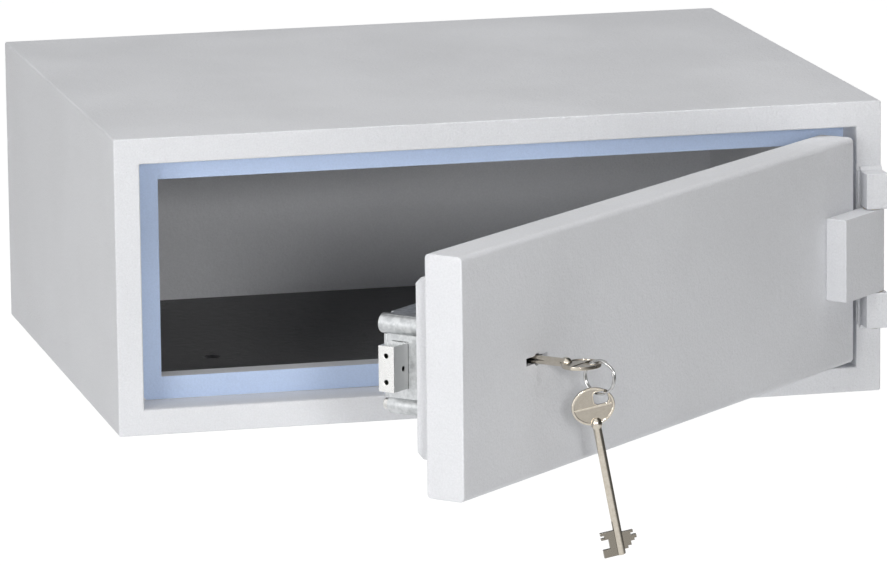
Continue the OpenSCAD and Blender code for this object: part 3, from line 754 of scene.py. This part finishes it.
def pale_floor():
    """White to the camera, with a share of real shade so that shadows stay."""
    material = bpy.data.materials.new("pale_floor")
    material.use_nodes = True
    tree = Tree(material.node_tree)
    shader = material.node_tree.nodes["Principled BSDF"]
    shader.inputs["Base Color"].default_value = (0.9, 0.9, 0.9, 1)
    shader.inputs["Roughness"].default_value = 0.9
    shader.inputs["Specular IOR Level"].default_value = 0.1
    seen, mirrored = tree.outputs("ShaderNodeLightPath", None, "Is Camera Ray", "Is Glossy Ray")
    where = tree.node("ShaderNodeTexCoord", out="Object")
    east = tree.node("ShaderNodeSeparateXYZ", None, {0: where})
    lit_side = tree.spread(east, 0.05, 0.65, 1.0, 0.06)
    strength = seen * FLOOR_WHITE + mirrored * lit_side
    glow = tree.node("ShaderNodeEmission", None, {"Color": (1, 1, 1, 1), "Strength": strength})
    share = seen * GLOW_SEEN + mirrored * GLOW_MIRRORED
    mixed = tree.node("ShaderNodeMixShader", None, {0: share, 1: Socket(tree, shader.outputs[0]), 2: glow})
    sink = material.node_tree.nodes["Material Output"]
    material.node_tree.links.new(mixed.socket, sink.inputs["Surface"])
    return material


floor = pale_floor()
stage_slab("plinth", PLINTH_LOW, PLINTH_HIGH, floor)
stage_slab(
    "floor",
    (-FLOOR_HALF, -FLOOR_HALF, HIDDEN_FLOOR - FLOOR_T),
    (FLOOR_HALF, FLOOR_HALF, HIDDEN_FLOOR),
    floor,
)

# White to the camera, even and dim as light, and brighter on the left for what metal mirrors
world = bpy.data.worlds.new("studio")
bpy.context.scene.world = world
world.use_nodes = True
sky = Tree(world.node_tree)
seen, mirrored = sky.outputs("ShaderNodeLightPath", None, "Is Camera Ray", "Is Glossy Ray")
where = sky.node("ShaderNodeTexCoord", out="Generated")
east, north, up = sky.outputs("ShaderNodeSeparateXYZ", {0: where}, *"XYZ")
bright_side = sky.spread(east * -0.85 + north * -0.5 + up * 0.2, -0.25, 0.6, 0.06, 1.2)
strength = AMBIENT + seen * (SKY_WHITE - AMBIENT) + mirrored * (bright_side - AMBIENT)
world.node_tree.links.new(strength.socket, world.node_tree.nodes["Background"].inputs["Strength"])
world.node_tree.nodes["Background"].inputs["Color"].default_value = (1, 1, 1, 1)


def direction(azimuth, elevation):
    """The way to a lamp or camera, in degrees to the right of the front and above it."""
    a, e = math.radians(azimuth), math.radians(elevation)
    return Vector((math.sin(a) * math.cos(e), -math.cos(a) * math.cos(e), math.sin(e)))


def softbox(name, azimuth, elevation, distance, width, height, level, in_gloss=True):
    """A lamp that lights a surface facing it to a share of its own colour."""
    lamp = bpy.data.lights.new(name, "AREA")
    lamp.shape, lamp.size, lamp.size_y = "RECTANGLE", width, height
    lamp.energy = level * math.pi**2 * distance**2
    made = shown(name, lamp)
    away = direction(azimuth, elevation)
    made.location = AIM + away * distance
    made.rotation_euler = away.to_track_quat("Z", "Y").to_euler()
    made.visible_glossy = in_gloss


softbox("front_light", -6, 12, 3.2, width=0.35, height=0.35, level=0.24)
softbox("left_light", -46, 4, 3.0, width=1.2, height=2.4, level=0.57)
# Metal that faces up mirrors the sky and not this lamp, which would burn it out
softbox("top_light", 0, 84, 3.0, width=2.5, height=2.5, level=0.64, in_gloss=False)

CAMERA_AZIMUTH, CAMERA_ELEVATION, CAMERA_ROLL = -13.2799, 11.2756, -0.6392
CAMERA_PLACE, CAMERA_LENS = (-0.99052, -4.23034, 0.91271), 270.446
camera_data = bpy.data.cameras.new("camera")
camera_data.sensor_width, camera_data.lens = 36.0, CAMERA_LENS
camera_data.clip_start, camera_data.clip_end = 0.1, 60.0
camera = shown("camera", camera_data)
back = direction(CAMERA_AZIMUTH, CAMERA_ELEVATION)
right = Vector((math.cos(math.radians(CAMERA_AZIMUTH)), math.sin(math.radians(CAMERA_AZIMUTH)), 0))
axes = Matrix((right, back.cross(right), back)).transposed().to_4x4()
camera.matrix_world = Matrix.Translation(CAMERA_PLACE) @ axes @ turn("Z", CAMERA_ROLL)
bpy.context.scene.camera = camera
bpy.context.scene.view_settings.view_transform = "Standard"
